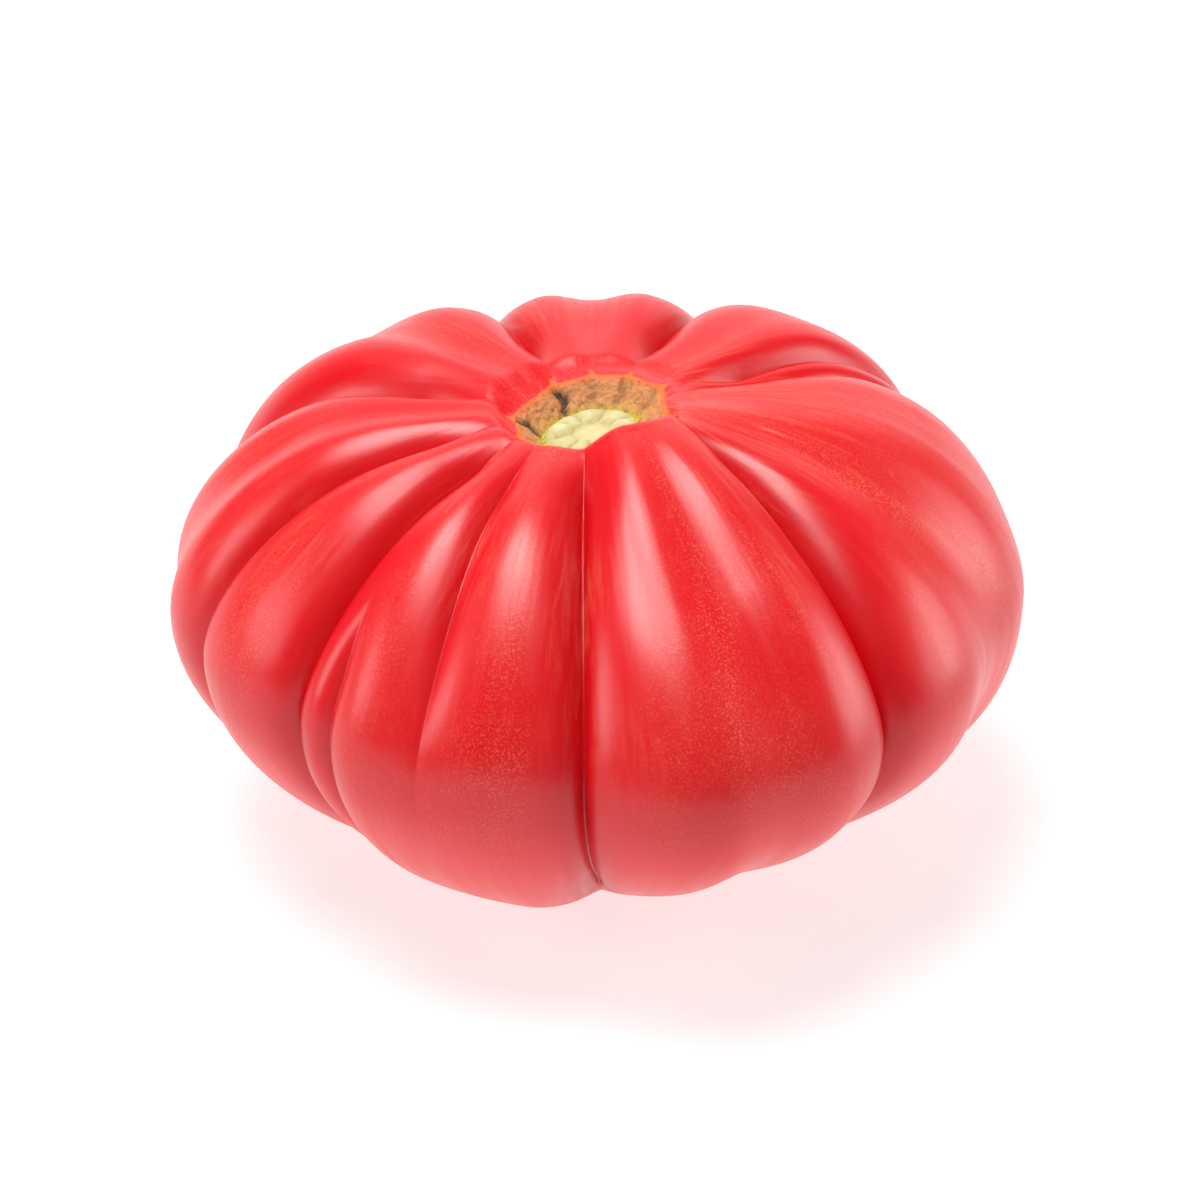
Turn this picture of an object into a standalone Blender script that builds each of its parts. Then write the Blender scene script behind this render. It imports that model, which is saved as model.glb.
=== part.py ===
"""A ribbed beefsteak tomato, as picked: one solid with a corky stem scar and a flat spot to rest on.

The model is in metres with +Z up, and the origin is the centre of the rest spot. Sizes below are
in millimetres and angles in degrees. An azimuth of 0 faces -Y and one of 90 faces +X. A skin
share says how far down the skin a point lies: 0 is the scar's rim and 1 is the rest spot's edge.
"""

from collections import namedtuple

import bmesh
import bpy
import numpy as np

MM = 0.001

# The round body, before grooves and lobes change it.
SIDE_RADIUS = 57.0
WIDEST_HEIGHT = 34.5
CROWN_RADIUS = 14.5
CROWN_HEIGHT = 64.5
REST_RADIUS = 14.0

# The stem scar: a corky wall that slopes from the skin down to a flat floor.
SCAR_RADIUS = 9.9
SCAR_SINK = 3.0  # from the crown down to the scar's rim
SCAR_TILT = 1.4  # rise of the rim at +X, and its fall at -X
SCAR_DEPTH = 3.0  # from the rim down to the floor
SCAR_FLOOR_RADIUS = 6.2

# How far each curve of the profile reaches along its span before it turns.
CROWN_FULLNESS = 0.56
SHOULDER_FULLNESS = 0.42
BELLY_FULLNESS = 0.66
BASE_FULLNESS = 0.30

# Skin shares of the crown and of the widest ring.
CROWN_SHARE = 0.16
WIDEST_SHARE = 0.55

# Grooves between the lobes. azimuths and depths each hold the values at the scar, on the side
# and at the rest spot. reach is the angle over which the lobe falls into the groove. start and
# end are the skin shares that the groove runs between, and one that stops short fades there.
Groove = namedtuple("Groove", "azimuths depths reach start end")
GROOVES = (
    Groove((-6, -1, 5), (3.5, 5.0, 3.0), 18, 0.0, 1.0),
    Groove((71, 46, 50), (4.5, 6.0, 4.5), 24, 0.0, 1.0),
    Groove((101, 120, 112), (4.5, 3.6, 2.0), 14, 0.0, 1.0),
    Groove((109, 127, 124), (3.0, 3.0, 1.5), 12, 0.0, 1.0),
    Groove((152, 159, 160), (3.0, 5.0, 2.5), 20, 0.0, 1.0),
    Groove((208, 199, 200), (3.0, 5.0, 2.5), 20, 0.0, 1.0),
    Groove((263, 247, 250), (4.5, 5.5, 2.5), 20, 0.0, 1.0),
    Groove((296, 285, 295), (3.5, 4.0, 2.0), 16, 0.0, 1.0),
    Groove((314, 310, 303), (4.0, 5.0, 2.5), 18, 0.0, 1.0),
    Groove((317, 318, 319), (0.0, 2.6, 1.5), 8, 0.33, 1.0),
    Groove((320, 335, 342), (2.6, 2.4, 0.0), 14, 0.0, 0.62),
)
CREASE_PART = 0.38  # the part of a groove's depth that its narrow crease makes
CREASE_WIDTH = 1.5
VALLEY_POWER = 2.2
FADE_SHARE = 0.14  # the skin share over which a groove that stops short begins
RIM_REACH = 14.0  # how far out from the scar the grooves go on deepening

# Soft furrows, with no crease, along the lobes' backs.
Furrow = namedtuple("Furrow", "azimuths depths reach")
FURROWS = (
    Furrow((20, 26, 28), (-0.8, 1.5, 0.6), 11),
    Furrow((66, 74, 80), (0.4, 1.2, 0.8), 14),
    Furrow((134, 138, 138), (0.8, 0.8, 0.4), 14),
    Furrow((180, 180, 180), (0.5, 1.6, 0.6), 12),
    Furrow((230, 224, 224), (1.4, 1.4, 0.6), 14),
    Furrow((280, 267, 274), (0.8, 1.0, 0.4), 10),
)

# How far the fruit has grown out, grown up at the shoulder, been drawn in under the belly and
# grown up beside the scar, by azimuth.
Growth = namedtuple("Growth", "azimuth out up tuck brim")
GROWTHS = (
    Growth(20, 0.0, -3.0, 7.5, 3.8),
    Growth(45, -1.5, -1.5, 5.0, 2.4),
    Growth(70, -3.0, -1.5, 2.5, 0.4),
    Growth(95, -0.5, 0.0, -4.0, -1.6),
    Growth(137, 3.0, 2.5, 0.0, -3.5),
    Growth(180, -1.5, 2.0, 0.0, -3.4),
    Growth(228, 1.5, 2.0, 0.0, -3.5),
    Growth(275, -2.0, 0.0, 1.5, -2.1),
    Growth(305, -5.5, -1.5, 1.5, -0.6),
    Growth(345, -6.0, -1.5, 1.5, -0.6),
)

# The mesh: rings of points down the skin, in columns that follow the grooves.
RING_COUNT = 37
COLUMN_ANGLE = 3.4
COLUMN_CROWDING = 0.55  # how much closer the columns stand beside a groove

SKIN_COLOUR = (0.80, 0.05, 0.05, 1.0)
SKIN_ROUGHNESS = 0.28


def eased(t):
    t = np.clip(t, 0.0, 1.0)
    return t * t * (3.0 - 2.0 * t)


def bezier(t, start, first, second, end):
    rest = 1.0 - t
    return rest**3 * start + 3 * rest**2 * t * first + 3 * rest * t**2 * second + t**3 * end


def profile(share):
    """Radius and height of the round body: scar to crown, crown to widest ring, then to the base."""
    crown_gap = CROWN_RADIUS - SCAR_RADIUS
    side_gap = SIDE_RADIUS - CROWN_RADIUS
    base_gap = SIDE_RADIUS - REST_RADIUS
    rise = CROWN_HEIGHT - WIDEST_HEIGHT
    rim_height = CROWN_HEIGHT - SCAR_SINK
    rim_handle = SCAR_RADIUS + 0.35 * crown_gap
    crown_handle = SCAR_RADIUS + 0.35 * crown_gap
    top = np.clip(share / CROWN_SHARE, 0.0, 1.0)
    upper = np.clip((share - CROWN_SHARE) / (WIDEST_SHARE - CROWN_SHARE), 0.0, 1.0)
    lower = np.clip((share - WIDEST_SHARE) / (1.0 - WIDEST_SHARE), 0.0, 1.0)
    radii = (
        bezier(top, SCAR_RADIUS, rim_handle, crown_handle, CROWN_RADIUS),
        bezier(upper, CROWN_RADIUS, CROWN_RADIUS + CROWN_FULLNESS * side_gap, SIDE_RADIUS, SIDE_RADIUS),
        bezier(lower, SIDE_RADIUS, SIDE_RADIUS, REST_RADIUS + BASE_FULLNESS * base_gap, REST_RADIUS),
    )
    heights = (
        bezier(top, rim_height, rim_height + 0.10 * SCAR_SINK, CROWN_HEIGHT, CROWN_HEIGHT),
        bezier(upper, CROWN_HEIGHT, CROWN_HEIGHT, WIDEST_HEIGHT + SHOULDER_FULLNESS * rise, WIDEST_HEIGHT),
        bezier(lower, WIDEST_HEIGHT, WIDEST_HEIGHT * (1.0 - BELLY_FULLNESS), 0.0, 0.0),
    )
    spans = (share < CROWN_SHARE, share < WIDEST_SHARE)
    return np.select(spans, radii[:2], radii[2]), np.select(spans, heights[:2], heights[2])


def inward(share):
    """The direction from the skin into the round body, as its radial and upward parts."""
    step = 0.001
    radius_before, height_before = profile(np.clip(share - step, 0.0, 1.0))
    radius_after, height_after = profile(np.clip(share + step, 0.0, 1.0))
    along = np.array((radius_after - radius_before, height_after - height_before))
    along /= np.hypot(*along)
    return along[1], -along[0]


def between_stations(values, share):
    """A value that goes from the scar's, over the side's, to the rest spot's."""
    at_scar, at_side, at_rest = values
    above = np.clip(1.0 - share / WIDEST_SHARE, 0.0, 1.0)
    below = np.clip((share - WIDEST_SHARE) / (1.0 - WIDEST_SHARE), 0.0, 1.0)
    return at_side + (at_scar - at_side) * above**2.5 + (at_rest - at_side) * below**1.5


def angle_between(azimuth, other):
    return np.abs((azimuth - other + 180.0) % 360.0 - 180.0)


def groove_depth(azimuth, share, radius):
    """How far the grooves and furrows push the skin in."""
    depth = np.zeros_like(azimuth)
    past_rim = eased((radius - SCAR_RADIUS) / RIM_REACH)
    for groove in GROOVES:
        angle = angle_between(azimuth, between_stations(groove.azimuths, share))
        valley = (1.0 - np.clip(angle / groove.reach, 0.0, 1.0)) ** VALLEY_POWER
        crease = np.exp(-np.radians(angle) * radius / CREASE_WIDTH)
        strength = between_stations(groove.depths, share)
        if groove.start > 0.0:
            strength *= eased((share - groove.start) / FADE_SHARE)
        if groove.end < 1.0:
            strength *= eased((groove.end - share) / (2 * FADE_SHARE))
        crease_part = CREASE_PART * past_rim
        depth += strength * ((1.0 - CREASE_PART) * valley + crease_part * crease)
    for furrow in FURROWS:
        angle = angle_between(azimuth, between_stations(furrow.azimuths, share))
        across = np.clip(angle / furrow.reach, 0.0, 1.0)
        depth += between_stations(furrow.depths, share) * np.cos(across * np.pi / 2) ** 2
    at_rim = 0.15 + 0.85 * past_rim
    return depth * at_rim * eased((1.0 - share) / 0.2)


def growth(azimuth, field):
    """A growth's field, eased from each azimuth of GROWTHS to the next, round the fruit."""
    known = [(g.azimuth, getattr(g, field)) for g in GROWTHS]
    known.append((known[0][0] + 360.0, known[0][1]))
    turned = (azimuth - known[0][0]) % 360.0 + known[0][0]
    value = np.zeros_like(azimuth)
    for (start, before), (end, after) in zip(known, known[1:]):
        here = (turned >= start) & (turned < end)
        blend = before + (after - before) * eased((turned - start) / (end - start))
        value = np.where(here, blend, value)
    return value


def skin(azimuth, share):
    """Points of the skin, in millimetres, as an array whose last axis is x, y, z."""
    radius, height = profile(share)
    into_radius, into_height = inward(share)
    depth = groove_depth(azimuth, share, radius)
    below = np.clip((share - WIDEST_SHARE) / (1.0 - WIDEST_SHARE), 0.0, 1.0)
    past_rim = eased((radius - SCAR_RADIUS) / (CROWN_RADIUS - SCAR_RADIUS))
    above = np.sin(np.pi * np.clip(share / WIDEST_SHARE, CROWN_SHARE / WIDEST_SHARE, 1.0)) * past_rim
    outer = eased((radius - CROWN_RADIUS) / (SIDE_RADIUS - CROWN_RADIUS))
    tuck = growth(azimuth, "tuck") * np.sin(np.pi * below) ** 2
    radius = radius + depth * into_radius + growth(azimuth, "out") * outer - tuck
    tilt = SCAR_TILT * np.sin(np.radians(azimuth)) * (1.0 - eased(share / CROWN_SHARE))
    brim = growth(azimuth, "brim") * eased(share / 0.15) * eased((0.31 - share) / 0.16)
    height = height + depth * into_height + growth(azimuth, "up") * above + brim + tilt
    turn = np.radians(azimuth)
    return np.stack((radius * np.sin(turn), -radius * np.cos(turn), np.maximum(height, 0.0)), axis=-1)


def column_azimuths(share):
    """One ring's azimuths at a skin share: even shares of each gap between neighbouring grooves."""
    azimuths = []
    following = GROOVES[1:] + GROOVES[:1]
    for groove, after in zip(GROOVES, following):
        turn = 360.0 if after is GROOVES[0] else 0.0
        side_gap = after.azimuths[1] + turn - groove.azimuths[1]
        count = max(2, round(side_gap / COLUMN_ANGLE))
        steps = np.arange(count) / count
        steps = steps - COLUMN_CROWDING * np.sin(2 * np.pi * steps) / (2 * np.pi)
        start = between_stations(groove.azimuths, share)
        end = between_stations(after.azimuths, share) + turn
        azimuths.extend(start + (end - start) * steps)
    return np.array(azimuths)


def skin_rings():
    shares = np.linspace(0.0, 1.0, RING_COUNT)
    return [skin(column_azimuths(share), np.full_like(column_azimuths(share), share)) for share in shares]


def scar_floor_ring():
    turn = np.radians(column_azimuths(0.0))
    radius = SCAR_FLOOR_RADIUS
    tilt = SCAR_TILT * radius / SCAR_RADIUS * np.sin(turn)
    height = CROWN_HEIGHT - SCAR_SINK - SCAR_DEPTH + tilt
    return np.stack((radius * np.sin(turn), -radius * np.cos(turn), height), axis=-1)


def skin_material():
    material = bpy.data.materials.new("tomato_skin")
    material.use_nodes = True
    surface = material.node_tree.nodes["Principled BSDF"]
    surface.inputs["Base Color"].default_value = SKIN_COLOUR
    surface.inputs["Roughness"].default_value = SKIN_ROUGHNESS
    surface.inputs["Metallic"].default_value = 0.0
    return material


def tomato():
    """The whole fruit as one closed solid: scar floor, scar wall, skin and rest spot."""
    bm = bmesh.new()
    rings = [[bm.verts.new(point * MM) for point in ring] for ring in (scar_floor_ring(), *skin_rings())]
    bm.faces.new(rings[0])
    for upper, lower in zip(rings, rings[1:]):
        for i in range(len(upper)):
            face = bm.faces.new((upper[i - 1], lower[i - 1], lower[i], upper[i]))
            face.smooth = True
    bm.faces.new(reversed(rings[-1]))
    bmesh.ops.recalc_face_normals(bm, faces=bm.faces)
    mesh = bpy.data.meshes.new("tomato")
    bm.to_mesh(mesh)
    bm.free()
    mesh.materials.append(skin_material())
    fruit = bpy.data.objects.new("tomato", mesh)
    bpy.context.scene.collection.objects.link(fruit)
    return fruit


def main():
    for old in list(bpy.data.objects):
        bpy.data.objects.remove(old)
    tomato()


main()
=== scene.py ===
"""The looks of a ribbed beefsteak tomato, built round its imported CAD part.

The frame is in metres with +Z up and its origin at the centre of the rest spot. Sizes below are in
millimetres and angles in degrees. An azimuth of 0 faces -Y and one of 90 faces +X. A skin share
says how far down the skin a point lies: 0 is the scar's rim and 1 is the rest spot's edge.
"""

import math
from collections import namedtuple

import bpy
import numpy as np
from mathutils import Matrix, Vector


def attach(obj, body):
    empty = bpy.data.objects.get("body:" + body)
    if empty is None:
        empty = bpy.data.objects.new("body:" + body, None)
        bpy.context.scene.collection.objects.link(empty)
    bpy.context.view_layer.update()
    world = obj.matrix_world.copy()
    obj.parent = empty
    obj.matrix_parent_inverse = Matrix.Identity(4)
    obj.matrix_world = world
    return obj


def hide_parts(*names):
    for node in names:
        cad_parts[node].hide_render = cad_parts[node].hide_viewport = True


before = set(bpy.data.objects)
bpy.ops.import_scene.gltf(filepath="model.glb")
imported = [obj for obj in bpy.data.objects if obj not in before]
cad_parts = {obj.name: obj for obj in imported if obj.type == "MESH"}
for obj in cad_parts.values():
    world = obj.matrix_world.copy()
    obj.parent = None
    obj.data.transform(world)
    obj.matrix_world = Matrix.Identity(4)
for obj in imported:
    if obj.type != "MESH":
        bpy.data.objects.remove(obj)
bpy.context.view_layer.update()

MM = 0.001

# The round body, before grooves and lobes change it.
SIDE_RADIUS = 57.0
WIDEST_HEIGHT = 34.5
CROWN_RADIUS = 14.5
CROWN_HEIGHT = 64.5
REST_RADIUS = 14.0

# The stem scar: a corky wall that slopes from the skin down to a floor.
SCAR_RADIUS = 9.9
SCAR_SINK = 3.0  # from the crown down to the scar's rim
SCAR_TILT = 1.4  # rise of the rim at +X, and its fall at -X
SCAR_DEPTH = 3.0  # from the rim down to the floor
SCAR_FLOOR_RADIUS = 6.2

# How far each curve of the profile reaches along its span before it turns.
CROWN_FULLNESS = 0.56
SHOULDER_FULLNESS = 0.42
BELLY_FULLNESS = 0.66
BASE_FULLNESS = 0.30

# Skin shares of the crown and of the widest ring.
CROWN_SHARE = 0.16
WIDEST_SHARE = 0.55

# Grooves between the lobes. azimuths and depths each hold the values at the scar, on the side
# and at the rest spot. reach is the angle over which the lobe falls into the groove. start and
# end are the skin shares that the groove runs between, and one that stops short fades there.
Groove = namedtuple("Groove", "azimuths depths reach start end")
GROOVES = (
    Groove((-6, -1, 5), (3.5, 5.0, 3.0), 18, 0.0, 1.0),
    Groove((71, 46, 50), (4.5, 6.0, 4.5), 24, 0.0, 1.0),
    Groove((101, 120, 112), (4.5, 3.6, 2.0), 14, 0.0, 1.0),
    Groove((109, 127, 124), (3.0, 3.0, 1.5), 12, 0.0, 1.0),
    Groove((152, 159, 160), (3.0, 5.0, 2.5), 20, 0.0, 1.0),
    Groove((208, 199, 200), (3.0, 5.0, 2.5), 20, 0.0, 1.0),
    Groove((263, 247, 250), (4.5, 5.5, 2.5), 20, 0.0, 1.0),
    Groove((296, 285, 295), (3.5, 4.0, 2.0), 16, 0.0, 1.0),
    Groove((314, 310, 303), (4.0, 5.0, 2.5), 18, 0.0, 1.0),
    Groove((317, 318, 319), (0.0, 2.6, 1.5), 8, 0.33, 1.0),
    Groove((320, 335, 342), (2.6, 2.4, 0.0), 14, 0.0, 0.62),
)
FADE_SHARE = 0.14  # the skin share over which a groove that stops short begins
CREASE_PART = 0.38  # the part of a groove's depth that its narrow crease makes
CREASE_WIDTH = 1.5
CREASE_SHADE_WIDTH = 4.0  # how far from a groove's middle its painted shade spreads
FULL_CREASE_DEPTH = 5.0  # the depth at which a groove has its full painted shade
VALLEY_POWER = 2.2
RIM_REACH = 14.0  # how far out from the scar the grooves go on deepening

# Soft furrows, with no crease, along the lobes' backs.
Furrow = namedtuple("Furrow", "azimuths depths reach")
FURROWS = (
    Furrow((20, 26, 28), (-0.8, 1.5, 0.6), 11),
    Furrow((66, 74, 80), (0.4, 1.2, 0.8), 14),
    Furrow((134, 138, 138), (0.8, 0.8, 0.4), 14),
    Furrow((180, 180, 180), (0.5, 1.6, 0.6), 12),
    Furrow((230, 224, 224), (1.4, 1.4, 0.6), 14),
    Furrow((280, 267, 274), (0.8, 1.0, 0.4), 10),
)

# How far the fruit has grown out, grown up at the shoulder, been drawn in under the belly and
# grown up beside the scar, by azimuth.
Growth = namedtuple("Growth", "azimuth out up tuck brim")
GROWTHS = (
    Growth(20, 0.0, -3.0, 7.5, 3.8),
    Growth(45, -1.5, -1.5, 5.0, 2.4),
    Growth(70, -3.0, -1.5, 2.5, 0.4),
    Growth(95, -0.5, 0.0, -4.0, -1.6),
    Growth(137, 3.0, 2.5, 0.0, -3.5),
    Growth(180, -1.5, 2.0, 0.0, -3.4),
    Growth(228, 1.5, 2.0, 0.0, -3.5),
    Growth(275, -2.0, 0.0, 1.5, -2.1),
    Growth(305, -5.5, -1.5, 1.5, -0.6),
    Growth(345, -6.0, -1.5, 1.5, -0.6),
)

# The fine mesh: rings of points down the skin, in columns that follow the grooves.
RING_COUNT = 300
SCAR_STEPS = 60
BASE_STEPS = 40
COLUMN_ANGLE = 0.6
COLUMN_CROWDING = 0.6  # how much closer the columns stand beside a groove
SCAR_CENTRE_SHARE = 0.985  # how far in from the scar's rim its smallest ring is
BASE_CENTRE_RADIUS = 0.3  # of the underside's smallest ring

# The scar's corners: each one's azimuth, and how deep and dark the crack down the cork is there.
Corner = namedtuple("Corner", "azimuth crack")
CORNERS = (
    Corner(-6, 0.1),
    Corner(38, 0.0),
    Corner(71, 0.15),
    Corner(117, 0.3),
    Corner(152, 0.35),
    Corner(180, 0.25),
    Corner(208, 1.0),
    Corner(263, 1.0),
    Corner(296, 0.2),
    Corner(314, 0.25),
)
CORNER_REACH = 0.55  # how far a corner stands out past the scar's radius
EDGE_HOLLOW = 1.1  # how far the edge draws in between two corners that stand wide apart
WIDE_GAP = 40.0  # the angle from which two corners stand wide apart
EDGE_PULL_SHARE = 0.1  # the skin share over which the skin follows the uneven edge
STAIN_WIDTH = 0.35  # of the orange stain on the skin round the scar
SPIKE_LENGTH = 1.3  # of the stain's spikes at the corners
SPIKE_ANGLE = 1.6
STAIN_FADE = 0.5
STAIN_STRENGTH = 0.85

# The scar's wall and floor.
WALL_EASE = 0.25  # the part of the wall's drop that eases in and out
CRACK_ANGLE = 4.2
CRACK_DEPTH = 0.6
RIB_HEIGHT = 0.3
FOOT_WIDTH = 0.28
FOOT_DEPTH = 0.35
PAD_HEIGHT = 1.0
PAD_COUNT = 9
PAD_INNER_RADIUS = 2.4
PAD_OUTER_GAP = 0.3  # between the pads and the wall's foot
CENTRE_BUMP = 0.12

# The small blossom scar in the middle of the rest spot.
BLOSSOM_RADIUS = 2.0
BLOSSOM_REACH = 7.0
BLOSSOM_DEPTH = 1.3
PLEAT_COUNT = 9
PLEAT_DEPTH = 0.35
PLEAT_RADIUS = 11.0
CRUST_HEIGHT = 0.25

# The coordinates that the fibres and ripples follow: a circle round the fruit, and a slow fall.
FLOW_RADIUS = 40.0
FLOW_FALL = 12.0

# How much light passes through the skin, and how far its red, green and blue go: shares of a
# scale in metres.
FLESH_GLOW = 0.3
FLESH_REACH = (1.0, 0.22, 0.12)
FLESH_SCALE = 0.004

# The studio, in metres: a pale floor with a slight glow, and round softboxes that face the fruit.
FLOOR_REACH = 4.0
FLOOR_GREY = 0.4
FLOOR_GLOW = 0.7
WORLD_LIGHT = 0.14
Softbox = namedtuple("Softbox", "name place size power")
SOFTBOXES = (
    Softbox("key", (-0.13, -0.02, 0.76), 0.5, 6.7),
    Softbox("left_panel", (-0.75, -0.15, 0.32), 0.4, 1.8),
    Softbox("right_panel", (0.75, 0.15, 0.22), 0.5, 2.8),
    Softbox("back_panel", (0.0, 1.0, 0.45), 1.4, 3.8),
)

# The camera: it looks down at the fruit from the front, from a little way off.
CAMERA_ELEVATION = 30.0
CAMERA_DISTANCE = 600.0
CAMERA_LENS = 138.3
CAMERA_TARGET = (1.1, 0.0, 33.8)


def rgb(red, green, blue):
    """A linear colour from the 0 to 255 values that a screen shows."""

    def linear(value):
        value /= 255.0
        return value / 12.92 if value <= 0.04045 else ((value + 0.055) / 1.055) ** 2.4

    return (linear(red), linear(green), linear(blue), 1.0)


# The skin's colours, as a screen shows them.
SKIN_RED = rgb(218, 8, 24)
SKIN_PINK = rgb(218, 30, 36)
# A painted reflection of the bright floor, on the lower skin.
SKIN_FLOOR_REFLECTION = rgb(250, 66, 70)
# Painted shade, along the grooves.
SKIN_CREASE_SHADE = rgb(205, 2, 16)
FIBRE_PALE = rgb(230, 116, 88)
SPECK_GOLD = rgb(234, 130, 90)

# The scars' colours.
BLOSSOM_BROWN = rgb(150, 100, 58)
CORK_ORANGE = rgb(226, 112, 48)
CORK_TAN = rgb(206, 138, 80)
CORK_PURPLE = rgb(118, 76, 52)
CORK_YELLOW = rgb(206, 164, 82)
CORK_DARK = rgb(62, 34, 18)
RING_GREEN = rgb(206, 188, 48)
FLOOR_CREAM = rgb(212, 198, 144)
FLOOR_GREEN = rgb(202, 204, 156)
FLOOR_BETWEEN_PADS = rgb(158, 146, 70)


def eased(t):
    t = np.clip(t, 0.0, 1.0)
    return t * t * (3.0 - 2.0 * t)


def bezier(t, start, first, second, end):
    rest = 1.0 - t
    return rest**3 * start + 3 * rest**2 * t * first + 3 * rest * t**2 * second + t**3 * end


def profile(share):
    """Radius and height of the round body: scar to crown, crown to widest ring, then to the base."""
    crown_gap = CROWN_RADIUS - SCAR_RADIUS
    side_gap = SIDE_RADIUS - CROWN_RADIUS
    base_gap = SIDE_RADIUS - REST_RADIUS
    rise = CROWN_HEIGHT - WIDEST_HEIGHT
    rim_height = CROWN_HEIGHT - SCAR_SINK
    rim_handle = SCAR_RADIUS + 0.35 * crown_gap
    crown_handle = SCAR_RADIUS + 0.35 * crown_gap
    top = np.clip(share / CROWN_SHARE, 0.0, 1.0)
    upper = np.clip((share - CROWN_SHARE) / (WIDEST_SHARE - CROWN_SHARE), 0.0, 1.0)
    lower = np.clip((share - WIDEST_SHARE) / (1.0 - WIDEST_SHARE), 0.0, 1.0)
    radii = (
        bezier(top, SCAR_RADIUS, rim_handle, crown_handle, CROWN_RADIUS),
        bezier(upper, CROWN_RADIUS, CROWN_RADIUS + CROWN_FULLNESS * side_gap, SIDE_RADIUS, SIDE_RADIUS),
        bezier(lower, SIDE_RADIUS, SIDE_RADIUS, REST_RADIUS + BASE_FULLNESS * base_gap, REST_RADIUS),
    )
    heights = (
        bezier(top, rim_height, rim_height + 0.10 * SCAR_SINK, CROWN_HEIGHT, CROWN_HEIGHT),
        bezier(upper, CROWN_HEIGHT, CROWN_HEIGHT, WIDEST_HEIGHT + SHOULDER_FULLNESS * rise, WIDEST_HEIGHT),
        bezier(lower, WIDEST_HEIGHT, WIDEST_HEIGHT * (1.0 - BELLY_FULLNESS), 0.0, 0.0),
    )
    spans = (share < CROWN_SHARE, share < WIDEST_SHARE)
    return np.select(spans, radii[:2], radii[2]), np.select(spans, heights[:2], heights[2])


def inward(share):
    """The direction from the skin into the round body, as its radial and upward parts."""
    step = 0.001
    radius_before, height_before = profile(np.clip(share - step, 0.0, 1.0))
    radius_after, height_after = profile(np.clip(share + step, 0.0, 1.0))
    along = np.array((radius_after - radius_before, height_after - height_before))
    along /= np.hypot(*along)
    return along[1], -along[0]


def between_stations(values, share):
    """A value that goes from the scar's, over the side's, to the rest spot's."""
    at_scar, at_side, at_rest = values
    above = np.clip(1.0 - share / WIDEST_SHARE, 0.0, 1.0)
    below = np.clip((share - WIDEST_SHARE) / (1.0 - WIDEST_SHARE), 0.0, 1.0)
    return at_side + (at_scar - at_side) * above**2.5 + (at_rest - at_side) * below**1.5


def angle_between(azimuth, other):
    return np.abs((azimuth - other + 180.0) % 360.0 - 180.0)


def groove_depth(azimuth, share, radius):
    """How far the grooves and furrows push the skin in, and how much shade is painted along each groove's
    crease there.
    """
    depth = np.zeros_like(azimuth)
    past_rim = eased((radius - SCAR_RADIUS) / RIM_REACH)
    crease_shade = np.zeros_like(azimuth)
    for groove in GROOVES:
        angle = angle_between(azimuth, between_stations(groove.azimuths, share))
        valley = (1.0 - np.clip(angle / groove.reach, 0.0, 1.0)) ** VALLEY_POWER
        crease = np.exp(-np.radians(angle) * radius / CREASE_WIDTH)
        strength = between_stations(groove.depths, share)
        if groove.start > 0.0:
            strength *= eased((share - groove.start) / FADE_SHARE)
        if groove.end < 1.0:
            strength *= eased((groove.end - share) / (2 * FADE_SHARE))
        depth += strength * ((1.0 - CREASE_PART) * valley + CREASE_PART * past_rim * crease)
        # Painted shade: how dark each groove's crease is coloured, for the material to read.
        shade = np.exp(-np.radians(angle) * radius / CREASE_SHADE_WIDTH)
        crease_shade = np.maximum(crease_shade, strength / FULL_CREASE_DEPTH * shade)
    for furrow in FURROWS:
        angle = angle_between(azimuth, between_stations(furrow.azimuths, share))
        across = np.clip(angle / furrow.reach, 0.0, 1.0)
        depth += between_stations(furrow.depths, share) * np.cos(across * np.pi / 2) ** 2
    at_rim = 0.15 + 0.85 * past_rim
    at_base = eased((1.0 - share) / 0.2)
    return depth * at_rim * at_base, crease_shade * at_rim * at_base


def growth(azimuth, field):
    """A growth's field, eased from each azimuth of GROWTHS to the next, round the fruit."""
    known = [(g.azimuth, getattr(g, field)) for g in GROWTHS]
    known.append((known[0][0] + 360.0, known[0][1]))
    turned = (azimuth - known[0][0]) % 360.0 + known[0][0]
    value = np.zeros_like(azimuth)
    for (start, before), (end, after) in zip(known, known[1:]):
        here = (turned >= start) & (turned < end)
        blend = before + (after - before) * eased((turned - start) / (end - start))
        value = np.where(here, blend, value)
    return value


def skin(azimuth, share):
    """Points of the skin, in millimetres, and how much shade is painted along the grooves there."""
    radius, height = profile(share)
    into_radius, into_height = inward(share)
    depth, crease_shade = groove_depth(azimuth, share, radius)
    below = np.clip((share - WIDEST_SHARE) / (1.0 - WIDEST_SHARE), 0.0, 1.0)
    past_rim = eased((radius - SCAR_RADIUS) / (CROWN_RADIUS - SCAR_RADIUS))
    above = np.sin(np.pi * np.clip(share / WIDEST_SHARE, CROWN_SHARE / WIDEST_SHARE, 1.0)) * past_rim
    outer = eased((radius - CROWN_RADIUS) / (SIDE_RADIUS - CROWN_RADIUS))
    tuck = growth(azimuth, "tuck") * np.sin(np.pi * below) ** 2
    radius = radius + depth * into_radius + growth(azimuth, "out") * outer - tuck
    tilt = SCAR_TILT * np.sin(np.radians(azimuth)) * (1.0 - eased(share / CROWN_SHARE))
    brim = growth(azimuth, "brim") * eased(share / 0.15) * eased((0.31 - share) / 0.16)
    height = height + depth * into_height + growth(azimuth, "up") * above + brim + tilt
    turn = np.radians(azimuth)
    points = (radius * np.sin(turn), -radius * np.cos(turn), np.maximum(height, 0.0))
    return np.stack(points, axis=-1), crease_shade


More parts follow.
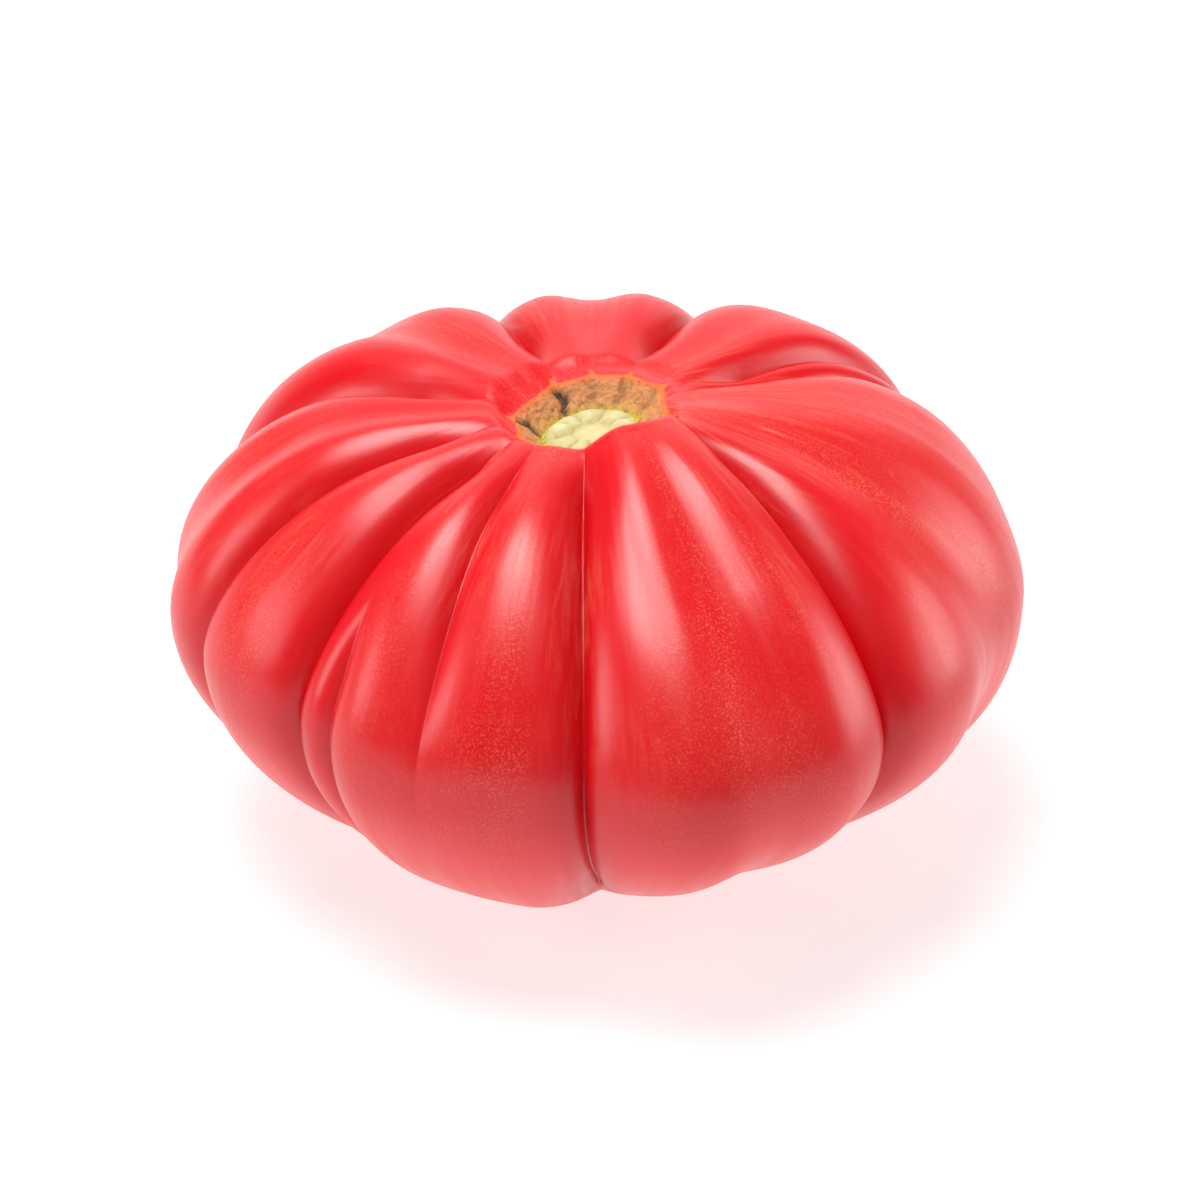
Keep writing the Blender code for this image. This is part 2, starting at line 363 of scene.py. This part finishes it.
def column_azimuths(share):
    """One ring's azimuths at a skin share: even shares of each gap between neighbouring grooves."""
    azimuths = []
    following = GROOVES[1:] + GROOVES[:1]
    for groove, after in zip(GROOVES, following):
        turn = 360.0 if after is GROOVES[0] else 0.0
        side_gap = after.azimuths[1] + turn - groove.azimuths[1]
        count = max(4, round(side_gap / COLUMN_ANGLE))
        steps = np.arange(count) / count
        steps = steps - COLUMN_CROWDING * np.sin(2 * np.pi * steps) / (2 * np.pi)
        start = between_stations(groove.azimuths, share)
        end = between_stations(after.azimuths, share) + turn
        azimuths.extend(start + (end - start) * steps)
    return np.array(azimuths)


def waves(azimuth, seed, counts, amount):
    """A wandering value round the fruit: sine waves of these counts, with seeded phases."""
    phases = np.random.default_rng(seed).uniform(0.0, 2 * np.pi, len(counts))
    turn = np.radians(azimuth)
    total = sum(np.sin(count * turn + phase) for count, phase in zip(counts, phases))
    return amount * total / len(counts)


def scar_edge(azimuth):
    """The cork's outer radius: nearly straight edges between the corners."""
    edge = np.full_like(azimuth, SCAR_RADIUS)
    for corner, after in zip(CORNERS, CORNERS[1:] + CORNERS[:1]):
        gap = (after.azimuth - corner.azimuth) % 360
        step = (azimuth - corner.azimuth) % 360.0 / gap
        hollow = min(1.0, gap / WIDE_GAP) * EDGE_HOLLOW
        bowed = SCAR_RADIUS + CORNER_REACH - hollow * np.sin(np.pi * np.clip(step, 0.0, 1.0)) ** 0.7
        edge = np.where(step < 1.0, bowed, edge)
    return edge + waves(azimuth, 3, (31, 47, 71), 0.12)


def corner_strength(azimuth, width, cracks=False):
    """1 at a corner of the scar, or its crack's strength, falling to 0 over this many degrees."""
    strength = np.zeros_like(azimuth)
    for corner in CORNERS:
        peak = corner.crack if cracks else 1.0
        near = np.exp(-((angle_between(azimuth, corner.azimuth) / width) ** 2))
        strength = np.maximum(strength, peak * near)
    return strength


def scar_points(azimuth, share_in):
    """Points of the scar at a share of the way in from its rim to its centre, and their depth marks."""
    rim = scar_edge(azimuth)
    radius = rim * (1.0 - share_in)
    wall = np.clip((rim - radius) / (rim - SCAR_FLOOR_RADIUS), 0.0, 1.0)
    depth = SCAR_DEPTH * ((1.0 - WALL_EASE) * wall + WALL_EASE * eased(wall))
    wander = 2.5 * np.sin(2.4 * radius + 1.0) + waves(azimuth + 60 * radius, 21, (5, 9, 14), 2.0)
    crack = corner_strength(azimuth + wander, CRACK_ANGLE, True) * np.sin(np.pi * wall) ** 0.4
    ribs = waves(azimuth + 4.0 * wander, 5, (11, 17, 29), RIB_HEIGHT) * np.sin(np.pi * wall)
    foot = np.exp(-(((radius - SCAR_FLOOR_RADIUS) / FOOT_WIDTH) ** 2))
    turn = np.radians(azimuth)
    pad_turn = turn * PAD_COUNT / 2 + 0.5 * np.sin(3 * turn + 1.0)
    pad_across = np.abs(np.sin(pad_turn)) ** 0.6 * (0.8 + waves(azimuth, 31, (2, 3, 5), 0.3))
    pad_length = SCAR_FLOOR_RADIUS - PAD_OUTER_GAP - PAD_INNER_RADIUS
    pad_along = np.sin(np.pi * np.clip((radius - PAD_INNER_RADIUS) / pad_length, 0.0, 1.0)) ** 0.6
    pad = pad_across * pad_along
    depth = depth + CRACK_DEPTH * crack + ribs + FOOT_DEPTH * foot - PAD_HEIGHT * pad * (wall >= 1.0)
    centre = CENTRE_BUMP * np.sin(2.1 * radius * np.sin(turn) + 1.0) * np.cos(2.6 * radius * np.cos(turn))
    depth = depth + centre * eased((SCAR_FLOOR_RADIUS - radius) / 2.0)
    tilt = SCAR_TILT * radius / SCAR_RADIUS * np.sin(turn)
    height = CROWN_HEIGHT - SCAR_SINK - depth + tilt
    points = np.stack((radius * np.sin(turn), -radius * np.cos(turn), height), axis=-1)
    return points, radius, wall, crack, foot, pad


def scar_tint(azimuth, radius, wall, crack, foot, pad):
    """The scar's colour at each point: orange edge, tan cork, dark cracks, green ring, pale floor."""

    def blend(colour, other, amount):
        amount = np.clip(amount, 0.0, 1.0)[:, None]
        return colour * (1.0 - amount) + np.array(other) * amount

    mottle = 0.5 + 0.5 * waves(azimuth + 31 * radius, 11, (7, 11, 17), 1.2)
    mottle_fine = 0.5 + 0.5 * waves(azimuth - 43 * radius, 12, (19, 29, 43), 1.4)
    tint = np.tile(np.array(CORK_TAN), (len(azimuth), 1))
    tint = blend(tint, CORK_PURPLE, 0.5 * mottle * mottle_fine)
    tint = blend(tint, CORK_YELLOW, eased((wall - 0.55) / 0.4) * (0.5 + 0.4 * mottle_fine))
    tint = blend(tint, CORK_ORANGE, eased((0.28 - wall) / 0.25))
    tint = blend(tint, CORK_DARK, 1.5 * crack * eased((wall - 0.05) / 0.2) * (0.6 + 0.5 * mottle_fine))
    inner = (wall >= 1.0) * eased((SCAR_FLOOR_RADIUS - radius) / 0.5)
    tint = blend(tint, FLOOR_CREAM, inner)
    tint = blend(tint, FLOOR_GREEN, inner * pad * 0.9)
    # The scar's floor is darker between the pads.
    between_pads = (1.0 - pad) * (0.25 + 0.4 * mottle) * eased((radius - 1.0) / 2.0)
    tint = blend(tint, FLOOR_BETWEEN_PADS, inner * between_pads)
    tint = blend(tint, RING_GREEN, foot * (0.5 + 0.5 * mottle))
    dots = eased((waves(azimuth, 8, (13, 22, 31), 1.0) - 0.3) / 0.3) * foot
    return blend(tint, CORK_DARK, 0.8 * dots)


def blossom_scar(azimuth, radius):
    """One ring of the underside, which dips at its middle to a small scar: its points and their cork."""
    turn = np.radians(azimuth)
    pleats = 0.5 + 0.5 * np.cos(PLEAT_COUNT * turn + 1.2 * np.sin(2 * turn))
    dip = BLOSSOM_DEPTH * eased((BLOSSOM_REACH - radius) / (0.8 * BLOSSOM_REACH))
    pleated = eased((PLEAT_RADIUS - radius) / 5.0) * eased((radius - 1.5) / 1.5)
    edge = BLOSSOM_RADIUS * (1.0 + waves(azimuth, 41, (3, 5, 9, 14), 0.5))
    cork = eased((edge - radius) / 0.5)
    crust = CRUST_HEIGHT * cork * waves(azimuth + 90 * radius, 43, (7, 13, 19), 1.0)
    height = dip + PLEAT_DEPTH * pleats**3 * pleated + crust * (radius > 0.5)
    points = np.stack((radius * np.sin(turn), -radius * np.cos(turn), np.maximum(height, 0.0)), axis=-1)
    return points, 0.9 * cork


class Nodes:
    """Shader nodes by short calls: each returns the new node's output socket."""

    def __init__(self, material):
        material.use_nodes = True
        self.tree = material.node_tree
        self.surface = self.tree.nodes.get("Principled BSDF")

    def link(self, value, socket):
        if isinstance(value, bpy.types.NodeSocket):
            self.tree.links.new(value, socket)
        elif value is not None:
            socket.default_value = value

    def add(self, kind, output, **settings):
        node = self.tree.nodes.new(kind)
        for name, value in settings.items():
            setattr(node, name, value)
        return node, node.outputs[output]

    def attribute(self, name, output="Fac"):
        return self.add("ShaderNodeAttribute", output, attribute_name=name)[1]

    def math(self, operation, first, second):
        node, out = self.add("ShaderNodeMath", 0, operation=operation)
        self.link(first, node.inputs[0])
        self.link(second, node.inputs[1])
        return out

    def noise(self, vector, scale, detail=2.0, roughness=0.5, distortion=0.0):
        node, out = self.add("ShaderNodeTexNoise", "Fac")
        self.link(vector, node.inputs["Vector"])
        self.link(scale, node.inputs["Scale"])
        self.link(detail, node.inputs["Detail"])
        self.link(roughness, node.inputs["Roughness"])
        self.link(distortion, node.inputs["Distortion"])
        return out

    def ranged(self, value, low, high, to_low=0.0, to_high=1.0):
        node, out = self.add("ShaderNodeMapRange", 0, interpolation_type="SMOOTHSTEP")
        for socket, number in zip(node.inputs, (value, low, high, to_low, to_high)):
            self.link(number, socket)
        return out

    def mixed(self, share, first, second):
        node, out = self.add("ShaderNodeMix", 2, data_type="RGBA")
        self.link(share, node.inputs[0])
        self.link(first, node.inputs[6])
        self.link(second, node.inputs[7])
        return out

    def bump(self, height, strength, distance, normal=None):
        node, out = self.add("ShaderNodeBump", 0)
        self.link(strength, node.inputs["Strength"])
        self.link(distance, node.inputs["Distance"])
        self.link(height, node.inputs["Height"])
        self.link(normal, node.inputs["Normal"])
        return out


def skin_material():
    """Waxy red skin, with the scars' own painted colours. Noise scales are per metre or per flow unit."""
    material = bpy.data.materials.new("tomato_skin")
    nodes = Nodes(material)
    position = nodes.add("ShaderNodeTexCoord", "Object")[1]
    flow = nodes.attribute("flow", "Vector")
    colour = patched(nodes, position)
    colour = fibred(nodes, colour, position, flow)
    colour = speckled(nodes, colour, position, flow)
    colour = scarred(nodes, colour, position)
    nodes.link(colour, nodes.surface.inputs["Base Color"])
    nodes.link(roughness(nodes, flow), nodes.surface.inputs["Roughness"])
    nodes.link(relief(nodes, position, flow), nodes.surface.inputs["Normal"])
    nodes.surface.inputs["Subsurface Weight"].default_value = FLESH_GLOW
    nodes.surface.inputs["Subsurface Radius"].default_value = FLESH_REACH
    nodes.surface.inputs["Subsurface Scale"].default_value = FLESH_SCALE
    return material


def patched(nodes, position):
    """Large soft patches of two reds, painted shade along the grooves, and a pinker, paler underside that
    is a painted reflection of the bright floor.
    """
    patches = nodes.ranged(nodes.noise(position, 45.0, 3.0), 0.35, 0.65)
    colour = nodes.mixed(patches, SKIN_RED, SKIN_PINK)
    # Painted reflection of the bright floor: the lower skin turns pinker and paler.
    under = nodes.ranged(nodes.attribute("share"), 0.5, 0.8, 0.0, 0.75)
    colour = nodes.mixed(under, colour, SKIN_FLOOR_REFLECTION)
    # Painted shade: a darker red along the grooves.
    deep = nodes.ranged(nodes.attribute("crease"), 0.03, 0.7, 0.0, 0.9)
    return nodes.mixed(deep, colour, SKIN_CREASE_SHADE)


def fibred(nodes, colour, position, flow):
    """Pale fibres, in patches, that run down the lobes from the scar."""
    fibres = nodes.ranged(nodes.noise(flow, 0.8, 4.0, 0.7, 0.8), 0.46, 0.72)
    areas = nodes.ranged(nodes.noise(position, 40.0, 2.0), 0.42, 0.66)
    near_scar = nodes.ranged(nodes.attribute("share"), 0.62, 0.1, 0.0, 0.6)
    fibres = nodes.math("MULTIPLY", fibres, nodes.math("MULTIPLY", areas, near_scar))
    return nodes.mixed(fibres, colour, FIBRE_PALE)


def speckled(nodes, colour, position, flow):
    """A fine golden speckle, thicker in long patches of dust and kept off the painted shade along the
    grooves.
    """
    specks = nodes.ranged(nodes.noise(position, 3600.0, 2.0, 0.6), 0.48, 0.68)
    areas = nodes.ranged(nodes.noise(position, 90.0, 4.0, 0.65), 0.38, 0.72, 0.10, 0.32)
    dust = nodes.ranged(nodes.noise(flow, 0.16, 4.0, 0.6), 0.5, 0.68)
    upper = nodes.ranged(nodes.attribute("share"), 0.8, 0.3, 0.0, 0.42)
    areas = nodes.math("ADD", areas, nodes.math("MULTIPLY", dust, upper))
    open_skin = nodes.ranged(nodes.attribute("crease"), 0.02, 0.3, 1.0, 0.0)
    areas = nodes.math("MULTIPLY", areas, open_skin)
    return nodes.mixed(nodes.math("MULTIPLY", specks, areas), colour, SPECK_GOLD)


def scarred(nodes, colour, position):
    """The scars' own colours, painted on their points, with a fine dark grain in the cork."""
    tint = nodes.attribute("tint", "Color")
    grain = nodes.ranged(nodes.noise(position, 1500.0, 4.0, 0.7), 0.48, 0.70, 0.0, 0.7)
    tint = nodes.mixed(nodes.math("MULTIPLY", grain, nodes.attribute("cork")), tint, CORK_PURPLE)
    return nodes.mixed(nodes.attribute("scar"), colour, tint)


def roughness(nodes, flow):
    """Glossy skin that varies a little down the lobes, and dull scars."""
    skin_roughness = nodes.ranged(nodes.noise(flow, 0.6, 3.0), 0.3, 0.7, 0.30, 0.38)
    scar_roughness = nodes.math("MULTIPLY", nodes.attribute("scar"), 0.35)
    return nodes.math("ADD", skin_roughness, scar_roughness)


def relief(nodes, position, flow):
    """A faint peel under long shallow ripples."""
    peel = nodes.bump(nodes.noise(position, 1500.0, 2.0, 0.5), 0.2, 0.00005)
    return nodes.bump(nodes.noise(flow, 0.25, 2.0), 0.15, 0.0006, peel)


# One ring of the fine mesh: its points, and what the material reads at each of them.
Ring = namedtuple("Ring", "points crease share tint scar cork")


def scar_rings():
    """Rings of the stem scar, from its centre out to its rim."""
    azimuths = column_azimuths(0.0)
    blank = np.zeros(len(azimuths))
    for share_in in np.linspace(SCAR_CENTRE_SHARE, 1.0 / SCAR_STEPS, SCAR_STEPS):
        points, radius, wall, crack, foot, pad = scar_points(azimuths, share_in)
        tint = scar_tint(azimuths, radius, wall, crack, foot, pad)
        yield Ring(points, blank, blank, tint, blank + 1.0, eased((1.0 - wall) / 0.1))


def skin_rings():
    """Rings down the skin, which follow the scar's uneven edge at first and are stained orange there."""
    edge_offset = scar_edge(column_azimuths(0.0)) - SCAR_RADIUS
    blank = np.zeros(len(edge_offset))
    orange = np.tile(np.array(CORK_ORANGE), (len(blank), 1))
    for share in np.linspace(0.0, 1.0, RING_COUNT):
        azimuths = column_azimuths(share)
        points, crease = skin(azimuths, blank + share)
        pull = edge_offset * (1.0 - eased(share / EDGE_PULL_SHARE))
        turn = np.radians(azimuths)
        points[:, 0] += pull * np.sin(turn)
        points[:, 1] -= pull * np.cos(turn)
        stain_reach = STAIN_WIDTH + SPIKE_LENGTH * corner_strength(azimuths, SPIKE_ANGLE)
        past_rim = share / CROWN_SHARE * (CROWN_RADIUS - SCAR_RADIUS)
        stain = STAIN_STRENGTH * eased((stain_reach - past_rim) / STAIN_FADE)
        yield Ring(points, crease, blank + share, orange, stain, blank)


def base_rings():
    """Rings of the underside, from the rest spot's edge in to the blossom scar's centre."""
    azimuths = column_azimuths(1.0)
    blank = np.zeros(len(azimuths))
    brown = np.tile(np.array(BLOSSOM_BROWN), (len(azimuths), 1))
    for radius in np.linspace(0.97 * REST_RADIUS, BASE_CENTRE_RADIUS, BASE_STEPS):
        points, cork = blossom_scar(azimuths, radius)
        yield Ring(points, blank, blank + 1.0, brown, cork, cork)


def ring_faces(ring_count, columns):
    """Four-sided faces between neighbouring rings, and one face that closes each end."""
    faces = []
    for ring in range(ring_count - 1):
        for column in range(columns):
            before = (column - 1) % columns
            top, bottom = ring * columns, (ring + 1) * columns
            faces.append((top + before, bottom + before, bottom + column, top + column))
    last = ring_count * columns - 1
    faces.append(tuple(range(columns)))
    faces.append(tuple(range(last, last - columns, -1)))
    return faces


def tomato():
    """The fruit's fine mesh: rings from the scar's centre out to the skin and down to the rest spot."""
    rings = [*scar_rings(), *skin_rings(), *base_rings()]
    points, crease_shade, shares, tints, scars, corks = (np.concatenate(part) for part in zip(*rings))
    faces = ring_faces(len(rings), len(rings[0].points))
    mesh = bpy.data.meshes.new("tomato_skin")
    mesh.from_pydata((points * MM).tolist(), [], faces)
    mesh.polygons.foreach_set("use_smooth", [True] * len(faces))
    mesh.update()
    # The crease attribute carries the painted shade along the grooves.
    paint(mesh, "crease", "FLOAT", "value", crease_shade)
    paint(mesh, "share", "FLOAT", "value", shares)
    paint(mesh, "scar", "FLOAT", "value", scars)
    paint(mesh, "cork", "FLOAT", "value", corks)
    paint(mesh, "tint", "FLOAT_COLOR", "color", tints)
    paint(mesh, "flow", "FLOAT_VECTOR", "vector", flow_coordinates(points, shares))
    mesh.materials.append(skin_material())
    fruit = bpy.data.objects.new("tomato_skin", mesh)
    bpy.context.scene.collection.objects.link(fruit)
    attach(fruit, "root")
    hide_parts("tomato")


def flow_coordinates(points, shares):
    """Coordinates that run round the fruit and slowly down it, so that noise becomes long fibres."""
    turn = np.arctan2(points[:, 0], -points[:, 1])
    return np.stack((FLOW_RADIUS * np.sin(turn), FLOW_RADIUS * np.cos(turn), FLOW_FALL * shares), axis=-1)


def paint(mesh, name, kind, field, values):
    """Store one value or one colour at each of the mesh's points."""
    layer = mesh.attributes.new(name, kind, "POINT")
    layer.data.foreach_set(field, values.ravel())


def floor():
    corners = [(-FLOOR_REACH, -FLOOR_REACH, 0), (FLOOR_REACH, -FLOOR_REACH, 0)]
    corners += [(FLOOR_REACH, FLOOR_REACH, 0), (-FLOOR_REACH, FLOOR_REACH, 0)]
    mesh = bpy.data.meshes.new("floor")
    mesh.from_pydata(corners, [], [(0, 1, 2, 3)])
    white = bpy.data.materials.new("floor")
    white.use_nodes = True
    paper = white.node_tree.nodes["Principled BSDF"]
    paper.inputs["Base Color"].default_value = (FLOOR_GREY, FLOOR_GREY, FLOOR_GREY, 1.0)
    paper.inputs["Roughness"].default_value = 0.9
    paper.inputs["Emission Color"].default_value = (1.0, 1.0, 1.0, 1.0)
    paper.inputs["Emission Strength"].default_value = FLOOR_GLOW
    mesh.materials.append(white)
    ground = bpy.data.objects.new("floor", mesh)
    bpy.context.scene.collection.objects.link(ground)


def studio():
    floor()
    world = bpy.data.worlds.new("studio")
    bpy.context.scene.world = world
    world.use_nodes = True
    sky = world.node_tree.nodes["Background"]
    sky.inputs["Color"].default_value = (1.0, 1.0, 1.0, 1.0)
    sky.inputs["Strength"].default_value = WORLD_LIGHT
    for box in SOFTBOXES:
        softbox(box)
    bpy.context.scene.view_settings.view_transform = "Standard"


def softbox(box):
    """A round softbox that faces the fruit."""
    light = bpy.data.lights.new(box.name, "AREA")
    light.shape = "DISK"
    light.size = box.size
    light.energy = box.power
    lamp = bpy.data.objects.new(box.name, light)
    place = Vector(box.place)
    lamp.location = place
    lamp.rotation_euler = (Vector(CAMERA_TARGET) * MM - place).to_track_quat("-Z", "Y").to_euler()
    bpy.context.scene.collection.objects.link(lamp)


def camera():
    data = bpy.data.cameras.new("camera")
    data.lens = CAMERA_LENS
    data.sensor_width = 36.0
    data.clip_start = 0.01
    view = bpy.data.objects.new("camera", data)
    target = Vector(CAMERA_TARGET) * MM
    rise = math.radians(CAMERA_ELEVATION)
    view.location = target + Vector((0.0, -math.cos(rise), math.sin(rise))) * CAMERA_DISTANCE * MM
    view.rotation_euler = (math.pi / 2 - rise, 0.0, 0.0)
    bpy.context.scene.collection.objects.link(view)
    bpy.context.scene.camera = view


tomato()
studio()
camera()
